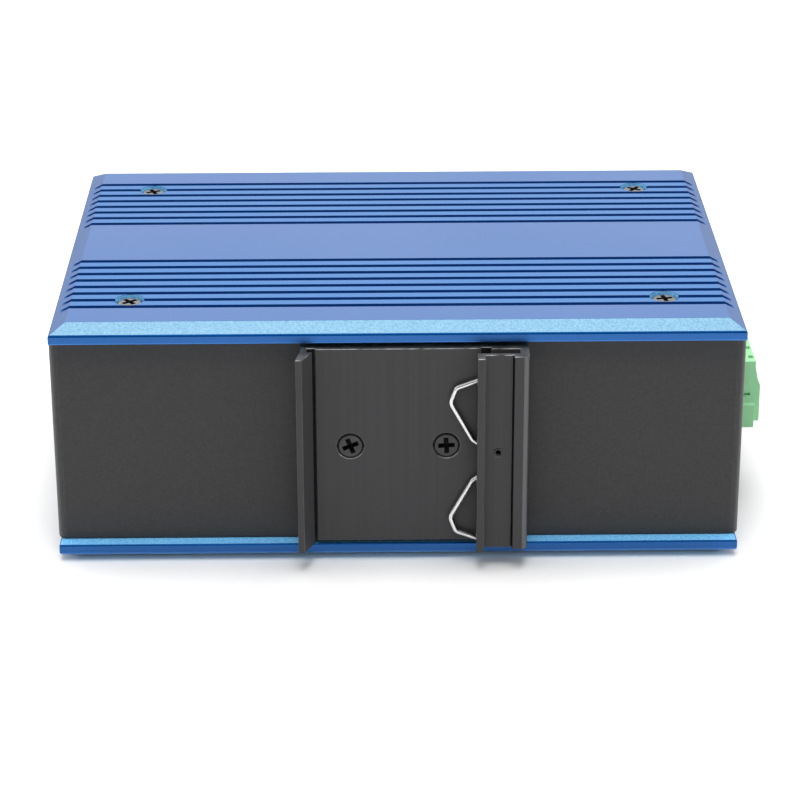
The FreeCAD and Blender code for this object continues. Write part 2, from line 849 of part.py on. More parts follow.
def bevelled_block(middle, size, bevel):
    """A box whose upright corners are cut off."""
    block = centred_box(middle, size)
    return block.makeChamfer(bevel, upright_edges(block))


def switch_chip():
    return bevelled_block((chip_x, chip_y, board_height - chip_height / 2),
                          (chip_side, chip_side, chip_height), chip_bevel)


def thermal_pad():
    return centred_box((chip_x, chip_y, board_height - chip_height - pad_height / 2),
                       (chip_side, chip_side, pad_height))


def heat_block():
    """A solid block that carries the chip's heat down to the lower plate."""
    top = board_height - chip_height - pad_height
    return bevelled_block((chip_x, chip_y, (case_bottom + top) / 2),
                          (block_side, block_side, top - case_bottom), block_bevel)


def port_transformers():
    y = bank_rear - shield_sheet - transformer_gap - transformer_width / 2
    return [centred_box((x, y, board_top + transformer_height / 2),
                        (transformer_length, transformer_width, transformer_height))
            for x in column_places()]


def capacitors():
    """Upright cans on square feet."""
    cans = []
    for index in range(capacitor_count):
        x = capacitor_first + index * capacitor_pitch
        foot = centred_box((x, capacitor_y, board_top + capacitor_foot / 2),
                           (capacitor_size, capacitor_size, capacitor_foot))
        can = rod((x, capacitor_y, board_top + capacitor_foot), (0, 0, 1), capacitor_size,
                  capacitor_height - capacitor_foot)
        cans.append(foot.fuse(can))
    return cans


def power_inductor():
    return bevelled_block((inductor_x, inductor_y, board_top + inductor_height / 2),
                          (inductor_side, inductor_side, inductor_height), inductor_bevel)


# ---- Earth terminal ------------------------------------------------------------------

def earth_screw():
    return placed(pan_screw(sheet + screw_tail), (case_end, earth_y, case_middle), (1, 0, 0))


# ---- Write one file for each sub-part ------------------------------------------------

os.makedirs("parts", exist_ok=True)

save("upper_plate", upper_plate())
save("lower_plate", lower_plate())
save("upper_plate_screws", upper_plate_screws())
save("lower_plate_screws", [turned_over(screw) for screw in upper_plate_screws()])
save("chassis", chassis())
save("front_panel", front_panel())
save("clip_nuts", clip_nuts())
save("din_clip", din_clip())
save("clip_screws", clip_screws())
save("rail_spring", rail_spring())
save("spring_pin", spring_pin())
save("main_board", main_board())
save("board_supports", board_supports())
save("jack_housing", jack_housing())
save("jack_shield", jack_shield())
save("jack_contacts", jack_contacts())
save("jack_light_pipes", pipe_windows())
save("header_pins", header_pins())
save("terminal_header", terminal_header())
save("terminal_plug", terminal_plug())
save("terminal_clamps", terminal_clamps())
save("terminal_screws", terminal_screws())
save("panel_light_pipes", panel_light_pipes())
save("status_leds", status_leds())
save("switch_chip", switch_chip())
save("thermal_pad", thermal_pad())
save("heat_block", heat_block())
save("port_transformers", port_transformers())
save("capacitors", capacitors())
save("power_inductor", power_inductor())
save("earth_screw", earth_screw())
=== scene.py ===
import math

import bpy
from mathutils import Euler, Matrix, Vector


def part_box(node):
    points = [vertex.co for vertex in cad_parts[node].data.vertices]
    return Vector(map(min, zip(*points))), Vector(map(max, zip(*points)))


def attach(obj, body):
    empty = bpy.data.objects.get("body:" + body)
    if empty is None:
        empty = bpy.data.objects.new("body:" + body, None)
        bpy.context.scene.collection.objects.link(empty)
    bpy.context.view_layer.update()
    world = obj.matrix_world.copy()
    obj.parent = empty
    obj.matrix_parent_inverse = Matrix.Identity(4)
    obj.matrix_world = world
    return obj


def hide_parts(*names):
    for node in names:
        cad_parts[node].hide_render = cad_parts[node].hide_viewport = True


# An industrial network switch for a mounting rail, lying on one of its finned side plates.
# The rail clip looks towards -Y, the supply plug leaves the end at +X, and +Z is up.

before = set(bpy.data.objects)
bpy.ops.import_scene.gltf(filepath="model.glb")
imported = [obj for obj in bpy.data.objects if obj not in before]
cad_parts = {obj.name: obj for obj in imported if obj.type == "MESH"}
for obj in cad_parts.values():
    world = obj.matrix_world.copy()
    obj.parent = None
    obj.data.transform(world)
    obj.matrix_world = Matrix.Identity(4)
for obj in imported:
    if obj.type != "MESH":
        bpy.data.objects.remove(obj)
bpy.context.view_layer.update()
mm = 0.001


# ---- Camera --------------------------------------------------------------------------
# It looks down at the rail clip's side from a little over half a metre away, through a
# long lens, with the case almost square to it.

camera_place = (-5.1 * mm, -557.2 * mm, 253.6 * mm)
look_down = 23.23             # degrees below the horizon
camera_roll = 0.15
camera_turn = -0.68
focal_length = 123.1          # in mm, as the sensor's width
sensor_width = 36

bpy.ops.object.camera_add(location=camera_place)
camera = bpy.context.object
camera.name = "camera"
camera.rotation_mode = "XYZ"
camera_angles = (90 - look_down, camera_roll, camera_turn)
camera.rotation_euler = Euler([math.radians(angle) for angle in camera_angles])
camera.data.lens = focal_length
camera.data.sensor_width = sensor_width
camera.data.clip_start = 0.01
camera.data.clip_end = 20
bpy.context.scene.camera = camera
bpy.context.scene.view_settings.view_transform = "Standard"


# ---- Table and light -----------------------------------------------------------------
# A white table before a lit white backdrop, between two bright screens, in a room that is
# dimmer on the camera's side. A large soft lamp hangs overhead, kept out of all
# reflections, and a small one in front.

def grey(level):
    return (level, level, level)


def set_sockets(made, values):
    """Sets a shader node's sockets by name, with underscores for its spaces."""
    for socket, value in values.items():
        made.inputs[socket.replace("_", " ")].default_value = value


def node(tree, kind, **values):
    made = tree.nodes.new(kind)
    set_sockets(made, values)
    return made


def new_material(name, **values):
    """A material with its node tree and its Principled shader, some of whose sockets are set."""
    material = bpy.data.materials.new(name)
    material.use_nodes = True
    shader = material.node_tree.nodes["Principled BSDF"]
    set_sockets(shader, values)
    return material, material.node_tree, shader


table_albedo = 0.75
table_glow = 0.02             # seen by the camera only
table_size = 8
behind_camera = 0.25          # how bright each side of the room is
overhead = 0.55
behind_table = 1.15
backdrop_foot = 0.3           # the room fades downwards to this share
backdrop_head = 1.12
backdrop_rise = (0.1, 0.36)   # between these heights of a ray's direction
screen_level = 2.4            # the side screens outshine the room this many times
screen_start = (0.45, 0.85)   # between these sideways parts of a ray's direction

table_finish, tree, shader = new_material("white_table", Base_Color=(*grey(table_albedo), 1),
                                          Roughness=0.9, Specular_IOR_Level=0.1,
                                          Emission_Color=(*grey(1), 1))
rays = tree.nodes.new("ShaderNodeLightPath")
glow = node(tree, "ShaderNodeMath")
glow.operation = "MULTIPLY"
glow.inputs[1].default_value = table_glow
tree.links.new(rays.outputs["Is Camera Ray"], glow.inputs[0])
tree.links.new(glow.outputs[0], shader.inputs["Emission Strength"])

bpy.ops.mesh.primitive_plane_add(size=table_size, location=(0, 0, 0))
table = bpy.context.object
table.name = "table"
table.data.materials.append(table_finish)

room = bpy.data.worlds.new("white_room")
bpy.context.scene.world = room
room.use_nodes = True
tree = room.node_tree
tree.nodes.clear()
sight = tree.nodes.new("ShaderNodeTexCoord")
direction = tree.nodes.new("ShaderNodeSeparateXYZ")
depth = node(tree, "ShaderNodeMapRange", From_Min=-1.0, From_Max=1.0)
shade = tree.nodes.new("ShaderNodeValToRGB")
shade.color_ramp.elements[0].position = 0.0
shade.color_ramp.elements[0].color = (*grey(behind_camera), 1)
shade.color_ramp.elements[1].position = 0.9
shade.color_ramp.elements[1].color = (*grey(behind_table), 1)
shade.color_ramp.elements.new(0.5).color = (*grey(overhead), 1)
backdrop = node(tree, "ShaderNodeMapRange", From_Min=backdrop_rise[0], From_Max=backdrop_rise[1],
                To_Min=backdrop_foot, To_Max=backdrop_head)
aside = tree.nodes.new("ShaderNodeMath")
aside.operation = "ABSOLUTE"
screens = node(tree, "ShaderNodeMapRange", From_Min=screen_start[0], From_Max=screen_start[1],
               To_Min=1.0, To_Max=screen_level)
level = tree.nodes.new("ShaderNodeMath")
level.operation = "MULTIPLY"
lit = tree.nodes.new("ShaderNodeBackground")
plain = node(tree, "ShaderNodeBackground", Strength=1.0, Color=(*grey(1), 1))
rays = tree.nodes.new("ShaderNodeLightPath")
either = tree.nodes.new("ShaderNodeMixShader")
out = tree.nodes.new("ShaderNodeOutputWorld")
tree.links.new(sight.outputs["Generated"], direction.inputs[0])
tree.links.new(direction.outputs["Y"], depth.inputs["Value"])
tree.links.new(depth.outputs["Result"], shade.inputs["Fac"])
tree.links.new(direction.outputs["Z"], backdrop.inputs["Value"])
tree.links.new(direction.outputs["X"], aside.inputs[0])
tree.links.new(aside.outputs[0], screens.inputs["Value"])
tree.links.new(backdrop.outputs["Result"], level.inputs[0])
tree.links.new(screens.outputs["Result"], level.inputs[1])
tree.links.new(level.outputs[0], lit.inputs["Strength"])
tree.links.new(shade.outputs["Color"], lit.inputs["Color"])
tree.links.new(rays.outputs["Is Camera Ray"], either.inputs["Fac"])
tree.links.new(lit.outputs[0], either.inputs[1])
tree.links.new(plain.outputs[0], either.inputs[2])
tree.links.new(either.outputs[0], out.inputs["Surface"])

for name, place, width, energy, mirrored in (("overhead_lamp", (0, 0.05, 1.1), 0.8, 10.5, False),
                                             ("front_lamp", (0, -0.5, 0.95), 0.4, 4, True)):
    bpy.ops.object.light_add(type="AREA", location=place)
    lamp = bpy.context.object
    lamp.name = name
    lamp.rotation_euler = Vector(place).to_track_quat("Z", "Y").to_euler()
    lamp.data.shape = "DISK"
    lamp.data.size = width
    lamp.data.energy = energy
    lamp.visible_glossy = mirrored


# ---- Finned side plates --------------------------------------------------------------
# Cut from an extruded aluminium bar, so the grooves and the front and rear chamfers run
# from end to end, and the end chamfers are milled. Blasted with beads, then anodised blue.

def deselect_all():
    for thing in bpy.context.selected_objects:
        thing.select_set(False)


def make_active(piece):
    """Makes the piece the only one selected."""
    deselect_all()
    piece.select_set(True)
    bpy.context.view_layer.objects.active = piece


def shader_group(name, inputs, outputs):
    """An empty node group for an effect that several finishes share."""
    group = bpy.data.node_groups.new(name, "ShaderNodeTree")
    for socket, default in inputs:
        made = group.interface.new_socket(socket, in_out="INPUT", socket_type="NodeSocketFloat")
        made.default_value = default
    for socket, kind in outputs:
        group.interface.new_socket(socket, in_out="OUTPUT", socket_type=kind)
    return group, group.nodes.new("NodeGroupInput"), group.nodes.new("NodeGroupOutput")


def grained_surface():
    """Fine grain all over, and broad soft patches: a mask of each, and the normal."""
    group, given, result = shader_group(
        "grained_surface",
        [("Grains per metre", 2500.0), ("Patches per metre", 25.0), ("Depth", 0.1)],
        [("Grains", "NodeSocketFloat"), ("Patches", "NodeSocketFloat"), ("Normal", "NodeSocketVector")])
    place = group.nodes.new("ShaderNodeTexCoord")
    grains = node(group, "ShaderNodeTexNoise", Detail=2.0, Roughness=0.6)
    patches = node(group, "ShaderNodeTexNoise", Detail=3.0, Roughness=0.5)
    bump = node(group, "ShaderNodeBump", Distance=0.00004)
    group.links.new(place.outputs["Object"], grains.inputs["Vector"])
    group.links.new(place.outputs["Object"], patches.inputs["Vector"])
    group.links.new(given.outputs["Grains per metre"], grains.inputs["Scale"])
    group.links.new(given.outputs["Patches per metre"], patches.inputs["Scale"])
    group.links.new(given.outputs["Depth"], bump.inputs["Strength"])
    group.links.new(grains.outputs["Fac"], bump.inputs["Height"])
    group.links.new(grains.outputs["Fac"], result.inputs["Grains"])
    group.links.new(patches.outputs["Fac"], result.inputs["Patches"])
    group.links.new(bump.outputs["Normal"], result.inputs["Normal"])
    return group


surface_grain = grained_surface()
noise_low, noise_high = 0.3, 0.7    # a noise keeps mostly between these


def spread(tree, value, low, high, target):
    """Feeds a socket with a noise spread from low to high."""
    made = node(tree, "ShaderNodeMapRange", From_Min=noise_low, From_Max=noise_high,
                To_Min=low, To_Max=high)
    tree.links.new(value, made.inputs["Value"])
    tree.links.new(made.outputs["Result"], target)


def two_tone(tree, value, first, second, target):
    """Feeds a colour socket with a noise that runs between two colours."""
    ramp = tree.nodes.new("ShaderNodeValToRGB")
    for stop, position, tone in zip(ramp.color_ramp.elements, (noise_low, noise_high), (first, second)):
        stop.position = position
        stop.color = (*tone, 1)
    tree.links.new(value, ramp.inputs["Fac"])
    tree.links.new(ramp.outputs["Color"], target)


def grained_finish(name, tones, rough, grains=2500.0, patches=25.0, depth=0.1, **constants):
    """A finish with two close tones in its grain and a roughness that drifts in patches."""
    material, tree, shader = new_material(name, **constants)
    grain = node(tree, "ShaderNodeGroup")
    grain.node_tree = surface_grain
    grain.inputs["Grains per metre"].default_value = grains
    grain.inputs["Patches per metre"].default_value = patches
    grain.inputs["Depth"].default_value = depth
    two_tone(tree, grain.outputs["Grains"], *tones, shader.inputs["Base Color"])
    spread(tree, grain.outputs["Patches"], *rough, shader.inputs["Roughness"])
    tree.links.new(grain.outputs["Normal"], shader.inputs["Normal"])
    return material


def joined_copy(cad_node, *finishes):
    """A copy of a CAD node with its triangles joined into faces."""
    piece = bpy.data.objects.new(cad_node + "_finished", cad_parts[cad_node].data.copy())
    bpy.context.scene.collection.objects.link(piece)
    piece.data.materials.clear()
    for finish in finishes:
        piece.data.materials.append(finish)
    make_active(piece)
    bpy.ops.mesh.customdata_custom_splitnormals_clear()
    bpy.ops.object.mode_set(mode="EDIT")
    bpy.ops.mesh.select_all(action="SELECT")
    bpy.ops.mesh.remove_doubles(threshold=0.001 * mm)
    bpy.ops.mesh.dissolve_limited(angle_limit=math.radians(0.5))
    bpy.ops.object.mode_set(mode="OBJECT")
    return piece


def flatten_shading(piece):
    """Shades the rounded edges smoothly and leaves the large faces flat."""
    bpy.ops.object.shade_smooth_by_angle(angle=math.radians(40))
    shading = piece.modifiers.new("shading", "WEIGHTED_NORMAL")
    shading.keep_sharp = True
    bpy.ops.object.modifier_apply(modifier="shading")


def round_edges(piece, width, sharpest=35):
    """Rounds every sharp edge, and gives the narrow new faces the piece's second finish."""
    make_active(piece)
    rounding = piece.modifiers.new("rounding", "BEVEL")
    rounding.width = width
    rounding.segments = 2
    rounding.limit_method = "ANGLE"
    rounding.angle_limit = math.radians(sharpest)
    rounding.use_clamp_overlap = False
    rounding.material = 1
    bpy.ops.object.modifier_apply(modifier="rounding")
    flatten_shading(piece)


def select_edges(piece, wanted):
    """Selects the edges whose two ends pass the test, and opens the piece for editing."""
    make_active(piece)
    bpy.ops.object.mode_set(mode="EDIT")
    bpy.ops.mesh.select_mode(type="EDGE")
    bpy.ops.mesh.select_all(action="DESELECT")
    bpy.ops.object.mode_set(mode="OBJECT")
    corners = piece.data.vertices
    for edge in piece.data.edges:
        edge.select = wanted(corners[edge.vertices[0]].co, corners[edge.vertices[1]].co)
    bpy.ops.object.mode_set(mode="EDIT")


def put_in_place(piece, cad_node, body="case"):
    """Lets the piece stand for a CAD node, and move with a body."""
    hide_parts(cad_node)
    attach(piece, body)


def anodised_finish(name, tones, coat, patches=25.0):
    """Coloured bare metal under the clear skin that seals it."""
    return grained_finish(name, tones, (0.36, 0.42), patches=patches, depth=0.15,
                          Metallic=1.0, Coat_Weight=coat, Coat_Roughness=0.35)


anodised_blue = anodised_finish("anodised_blue", ((0.012, 0.15, 0.50), (0.018, 0.17, 0.54)), 0.97)
# Painted highlight: a lighter blue for the narrow lands between the grooves, standing in for light
# their rounded edges catch.
land_highlight_blue = anodised_finish("land_highlight_blue", ((0.008, 0.20, 0.60), (0.012, 0.23, 0.66)), 0.7)
# Painted shade: a darker blue for the upright rim, which sees little light.
upright_shade_blue = anodised_finish("upright_shade_blue", ((0.001, 0.085, 0.31), (0.003, 0.105, 0.37)), 0.75,
                            patches=90.0)
# Painted shade: a darker blue for the floors and walls of the grooves.
groove_shade_blue = grained_finish("groove_shade_blue", ((0.005, 0.10, 0.34), (0.01, 0.12, 0.40)), (0.5, 0.6),
                             Metallic=0.8, Coat_Weight=0.3)
# Bead-blasted grain, with lighter tones that paint the overhead lamp's glare on the upward chamfers,
# since the lamp is kept out of reflections.
blasted_glare_blue = grained_finish("blasted_glare_blue", ((0.11, 0.285, 0.435), (0.24, 0.445, 0.60)), (0.5, 0.6),
                              grains=2400.0, depth=0.6,
                              Metallic=0.35, Coat_Weight=0.6, Coat_Roughness=0.5)
# Painted light: a much brighter blue for the inner ledges, the walls of the screw pockets and the
# downward chamfers, standing in for light that the lamps don't bring there.
painted_light_blue = grained_finish("painted_light_blue", ((0.06, 0.34, 0.86), (0.31, 0.75, 1.0)), (0.4, 0.5),
                            grains=2400.0, depth=1.0, Coat_Weight=0.5, Coat_Roughness=0.4)
# Painted shade: a dark line along the upper rounded edge of the rim.
rim_edge_shade_blue = grained_finish("rim_edge_shade_blue", ((0.002, 0.06, 0.24), (0.006, 0.08, 0.28)), (0.4, 0.5),
                          Metallic=1.0)
plate_finishes = (anodised_blue, rim_edge_shade_blue, blasted_glare_blue, painted_light_blue,
                  land_highlight_blue, groove_shade_blue, upright_shade_blue)

flush = 0.01 * mm             # faces this near to each other count as one
rim_edge = 0.3 * mm
plate_edge = 0.07 * mm
land_width = 3 * mm           # no land between two grooves is wider
pocket_margin = 1 * mm        # a pocket reaches less than this past its screw's head
pan_head_radius = 2.7 * mm
case_low, case_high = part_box("chassis")
plate_low, plate_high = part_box("upper_plate")
screws_low, screws_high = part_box("upper_plate_screws")


def past_rim(place):
    """How far a place lies outside the plates' outline, or inside it where it is negative."""
    return max(abs(place.x) - plate_high.x, abs(place.y) - plate_high.y)


def on_rim(place):
    return past_rim(place) > -flush


def rim_corner(start, end):
    """True for the level edges that run round the plates' upright rim."""
    return on_rim(start) and on_rim(end) and abs(start.z - end.z) < flush


def in_pocket(place):
    """True in the round pockets that the plates' screws sink in."""
    from_axis = math.hypot(abs(place.x) - screws_high.x + pan_head_radius,
                           abs(place.y) - screws_high.y + pan_head_radius)
    return from_axis < pan_head_radius + pocket_margin


def plate_finish(plate, face):
    """The finish of a face of a side plate: the anodised blue, with painted shade on the upright rim,
    its upper rounded edge and the grooves, and painted light on the lands, the chamfers, the inner
    ledges and the screw pockets.
    """
    normal, middle = face.normal, face.center
    inner = min(abs(middle.z - case_low.z), abs(middle.z - case_high.z)) < flush
    outer = min(abs(middle.z), abs(middle.z - plate_high.z)) < flush
    depths = [plate.data.vertices[corner].co.y for corner in face.vertices]
    narrow = max(depths) - min(depths) < land_width
    if face.material_index == 1:        # a rounded edge
        upper_rim = past_rim(middle) > -2 * rim_edge and 0.1 < normal.z < 0.9
        return rim_edge_shade_blue if upper_rim else anodised_blue
    if on_rim(middle):
        return upright_shade_blue
    # Painted light on the inner ledges and the walls of the screw pockets.
    if inner or in_pocket(middle) and abs(normal.z) < 0.5:
        return painted_light_blue
    extruded = abs(normal.x) < 0.1
    if extruded and 0.8 < abs(normal.z) < 0.95:     # the front or the rear chamfer
        # Upward chamfers take the painted glare, downward ones the painted light.
        return blasted_glare_blue if normal.z > 0 else painted_light_blue
    if outer:
        return land_highlight_blue if narrow else anodised_blue
    return groove_shade_blue if narrow and extruded else anodised_blue


for cad_node in ("upper_plate", "lower_plate"):
    plate = joined_copy(cad_node, *plate_finishes)
    select_edges(plate, rim_corner)
    bpy.ops.mesh.bevel(offset=rim_edge, segments=3, material=1)
    bpy.ops.object.mode_set(mode="OBJECT")
    round_edges(plate, plate_edge, sharpest=25)
    for face in plate.data.polygons:
        face.material_index = plate_finishes.index(plate_finish(plate, face))
    put_in_place(plate, cad_node)


# ---- Plate screws --------------------------------------------------------------------
# Nickel-plated M3 screws with a domed pan head and a cross recess. Four sink in the
# pockets of each side plate, each turned as it happened to tighten, and one takes the
# case's earth wire.

pan_head_height = 1.9 * mm
shank_radius = 1.5 * mm
cross_span = 3.5 * mm
cross_arm = 1.0 * mm
cross_hub = 2.1 * mm / math.sqrt(2)     # the side of a square that measures 2.1 across its corners
cross_depth = 1.4 * mm
overshoot = 0.1 * mm          # of the cutter past the surface it cuts
recess_taper = 0.6
head_dome = 0.85 * mm


def select_faces(piece, wanted):
    """Selects the faces that pass the test, and opens the piece for editing."""
    make_active(piece)
    bpy.ops.object.mode_set(mode="EDIT")
    bpy.ops.mesh.select_mode(type="FACE")
    bpy.ops.mesh.select_all(action="DESELECT")
    bpy.ops.object.mode_set(mode="OBJECT")
    for face in piece.data.polygons:
        face.select = wanted(face)
    bpy.ops.object.mode_set(mode="EDIT")


def apply_place(piece):
    """Takes the object's place, turn and size into its mesh."""
    make_active(piece)
    bpy.ops.object.transform_apply(location=True, rotation=True, scale=True)


def boolean(piece, tool, operation):
    """Joins or cuts the piece with the tool, and removes the tool."""
    make_active(piece)
    step = piece.modifiers.new("step", "BOOLEAN")
    step.operation = operation
    step.object = tool
    step.material_mode = "TRANSFER"
    bpy.ops.object.modifier_apply(modifier="step")
    bpy.data.objects.remove(tool)


def cross_cutter(top, finish):
    """Two crossed wedges and a hub, narrower at their foot, that end just above the given height."""
    blades = []
    for span_x, span_y, turn in ((cross_span, cross_arm, 0), (cross_arm, cross_span, 0),
                                 (cross_hub, cross_hub, 45)):
        deselect_all()
        bpy.ops.mesh.primitive_cube_add(size=1, location=(0, 0, top + (overshoot - cross_depth) / 2))
        blade = bpy.context.object
        blade.data.materials.append(finish)
        blade.rotation_euler = Euler((0, 0, math.radians(turn)))
        blade.scale = (span_x, span_y, cross_depth + overshoot)
        apply_place(blade)
        select_faces(blade, lambda face: face.normal.z < -0.5)
        bpy.ops.transform.resize(value=(recess_taper, recess_taper, 1), center_override=(0, 0, top))
        bpy.ops.object.mode_set(mode="OBJECT")
        blades.append(blade)
    boolean(blades[0], blades[1], "UNION")
    boolean(blades[0], blades[2], "UNION")
    return blades[0]


def pan_head_screw(length, finish, recess_shade_finish):
    """A domed head with its underside at the origin, and the plain shank below it."""
    deselect_all()
    bpy.ops.mesh.primitive_cylinder_add(vertices=48, radius=pan_head_radius, depth=pan_head_height,
                                        location=(0, 0, pan_head_height / 2))
    screw = bpy.context.object
    screw.data.materials.append(finish)
    apply_place(screw)
    select_faces(screw, lambda face: face.normal.z > 0.5)
    bpy.ops.mesh.bevel(offset=head_dome, segments=5, profile=0.5)
    bpy.ops.object.mode_set(mode="OBJECT")
    select_faces(screw, lambda face: face.normal.z < -0.5)
    bpy.ops.mesh.inset(thickness=pan_head_radius - shank_radius)
    bpy.ops.mesh.extrude_region_move(TRANSFORM_OT_translate={"value": (0, 0, -length)})
    bpy.ops.object.mode_set(mode="OBJECT")
    # The cross recess takes the painted shade.
    boolean(screw, cross_cutter(pan_head_height, recess_shade_finish), "DIFFERENCE")
    return screw


def fastener_copies(pattern, name, places, tilt, turns, cad_node):
    """One object with a copy of the fastener at each place, each at its own turn."""
    copies = []
    for place, turn in zip(places, turns):
        copy = bpy.data.objects.new(name, pattern.data.copy())
        bpy.context.scene.collection.objects.link(copy)
        copy.rotation_euler = Euler((0, 0, math.radians(turn)))
        apply_place(copy)
        copy.rotation_euler = Euler(tilt)
        copy.location = place
        apply_place(copy)
        copies.append(copy)
    make_active(copies[0])
    for copy in copies[1:]:
        copy.select_set(True)
    bpy.ops.object.join()
    bpy.ops.object.shade_smooth_by_angle(angle=math.radians(35))
    put_in_place(copies[0], cad_node)


def metal_finish(name, tones, rough, **constants):
    """A plain metal or oxide finish, with a fainter grain than a blasted one."""
    return grained_finish(name, tones, rough, depth=0.05, **constants)


nickel = metal_finish("nickel_plating", (grey(0.16), grey(0.36)), (0.28, 0.4), Metallic=1.0)
# Painted shade: a near-black, dull finish for the cross recesses, the ring round the countersunk heads,
# and the clip's channels and notch.
recess_shade_black = metal_finish("recess_shade_black", (grey(0.002), grey(0.012)), (0.5, 0.7),
                           grains=900.0, Specular_IOR_Level=0.1)

screw_x = screws_high.x - pan_head_radius
screw_y = screws_high.y - pan_head_radius
seat = screws_high.z - pan_head_height
pockets = [(-screw_x, -screw_y), (screw_x, -screw_y), (screw_x, screw_y), (-screw_x, screw_y)]
plate_screw = pan_head_screw(seat - screws_low.z, nickel, recess_shade_black)
fastener_copies(plate_screw, "upper_plate_screws_finished", [(x, y, seat) for x, y in pockets],
                (0, 0, 0), (38, 12, 55, 25), "upper_plate_screws")
lower_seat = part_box("lower_plate_screws")[0].z + pan_head_height
fastener_copies(plate_screw, "lower_plate_screws_finished", [(x, y, lower_seat) for x, y in pockets],
                (math.pi, 0, 0), (5, 70, 31, 48), "lower_plate_screws")
bpy.data.objects.remove(plate_screw)

screw_low, screw_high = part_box("earth_screw")
end_wall = screw_high.x - pan_head_height
earth_screw = pan_head_screw(end_wall - screw_low.x, nickel, recess_shade_black)
fastener_copies(earth_screw, "earth_screw_finished",
                [(end_wall, (screw_low.y + screw_high.y) / 2, (screw_low.z + screw_high.z) / 2)],
                (0, math.pi / 2, 0), (20,), "earth_screw")
bpy.data.objects.remove(earth_screw)


# ---- Case and front panel ------------------------------------------------------------
# Sheet steel, folded and powder coated black: a dull, very slightly orange-peeled skin. A lighter,
# glossier coat on the folds and the rounded edges paints the sheen that grazing light gives them.

powder_coat = grained_finish("black_powder_coat", ((0.037, 0.037, 0.038), (0.045, 0.045, 0.046)),
                             (0.40, 0.47), grains=1800.0, patches=18.0, depth=0.2,
                             Specular_IOR_Level=0.2)
# Painted sheen: a lighter coat for the outer half of the rear folds and the rounded edges.
fold_sheen_coat = grained_finish("fold_sheen_powder_coat", ((0.045, 0.045, 0.046), (0.06, 0.06, 0.061)),
                           (0.38, 0.44), grains=1800.0, depth=0.2, Specular_IOR_Level=0.5)
foot_radius = 0.5 * mm
sheet_edge = 0.15 * mm
end_wall_depth = 3 * mm       # the end walls and their folds lie in this much of the case's length
fold_width = 2 * mm


def on_foot(place):
    """True where the case's outer walls meet the side plates."""
    at_plate = min(abs(place.z - case_low.z), abs(place.z - case_high.z)) < flush
    at_wall = abs(place.x) > case_high.x - end_wall_depth or abs(place.y) > case_high.y - flush
    return at_plate and at_wall


def upright(face):
    return abs(face.normal.z) < 0.1


def on_fold(face):
    """True on the outer half of the case's two upright rear folds."""
    turned = 0.5 < abs(face.normal.x) < 0.98
    return face.center.y < case_low.y + fold_width and turned and upright(face)


for cad_node in ("chassis", "front_panel"):
    folded = joined_copy(cad_node, powder_coat, fold_sheen_coat)
    select_edges(folded, lambda start, end: on_foot(start) and on_foot(end))
    bpy.ops.mesh.bevel(offset=foot_radius, segments=3)
    bpy.ops.object.mode_set(mode="OBJECT")
    round_edges(folded, sheet_edge)
    for face in folded.data.polygons:
        # The folds take the painted sheen.
        if on_fold(face):
            face.material_index = 1
    put_in_place(folded, cad_node)


# ---- Rail clip -----------------------------------------------------------------------
# Sawn from an extruded aluminium bar and anodised black. Faint die lines run along it, and its
# sawn corners are rubbed to bare metal in places, a speckle that also paints the glint on the
# rounded edges that face up and forward. A painted highlight lies along the lip's rounded
# shoulder, and painted shade in its channels and notch.

def drawn_surface():
    """Fine lines along Z, as a die leaves them, with a mask and the normal."""
    group, given, result = shader_group(
        "drawn_surface", [("Lines per metre", 1400.0), ("Depth", 0.1)],
        [("Lines", "NodeSocketFloat"), ("Normal", "NodeSocketVector")])
    place = group.nodes.new("ShaderNodeTexCoord")
    stretch = node(group, "ShaderNodeMapping", Scale=(1, 1, 0.01))
    lines = node(group, "ShaderNodeTexNoise", Detail=2.0)
    bump = node(group, "ShaderNodeBump", Distance=0.00003)
    group.links.new(place.outputs["Object"], stretch.inputs["Vector"])
    group.links.new(stretch.outputs["Vector"], lines.inputs["Vector"])
    group.links.new(given.outputs["Lines per metre"], lines.inputs["Scale"])
    group.links.new(given.outputs["Depth"], bump.inputs["Strength"])
    group.links.new(lines.outputs["Fac"], bump.inputs["Height"])
    group.links.new(lines.outputs["Fac"], result.inputs["Lines"])
    group.links.new(bump.outputs["Normal"], result.inputs["Normal"])
    return group


surface_lines = drawn_surface()


def drawn_finish(name, tones, rough, lines=1400.0, depth=0.015, **constants):
    """A finish with fine lines along Z and a roughness that follows them."""
    material, tree, shader = new_material(name, **constants)
    drawn = node(tree, "ShaderNodeGroup")
    drawn.node_tree = surface_lines
    drawn.inputs["Lines per metre"].default_value = lines
    drawn.inputs["Depth"].default_value = depth
    two_tone(tree, drawn.outputs["Lines"], *tones, shader.inputs["Base Color"])
    spread(tree, drawn.outputs["Lines"], *rough, shader.inputs["Roughness"])
    tree.links.new(drawn.outputs["Normal"], shader.inputs["Normal"])
    return material


anodised_black = drawn_finish("anodised_black", ((0.042, 0.042, 0.044), (0.047, 0.047, 0.049)),
                              (0.35, 0.38), Specular_IOR_Level=0.2)
# Painted highlight: a lighter black for the lip's rounded shoulder, standing in for light from the
# side.
shoulder_highlight_black = drawn_finish("shoulder_highlight_black", ((0.08, 0.08, 0.082), (0.09, 0.09, 0.092)),
                             (0.3, 0.35))
# Bare-metal wear in bright speckles, given only to the rounded edges that face up and forward, so it
# also paints their glint.
rubbed_edge_glint = metal_finish("rubbed_edge_glint", (grey(0.02), (0.45, 0.45, 0.44)), (0.3, 0.45),
                           grains=450.0, Metallic=0.2)
worn_black = metal_finish("worn_black", ((0.03, 0.03, 0.031), grey(0.065)), (0.35, 0.45), grains=450.0)
clip_finishes = (anodised_black, worn_black, rubbed_edge_glint, recess_shade_black, shoulder_highlight_black)

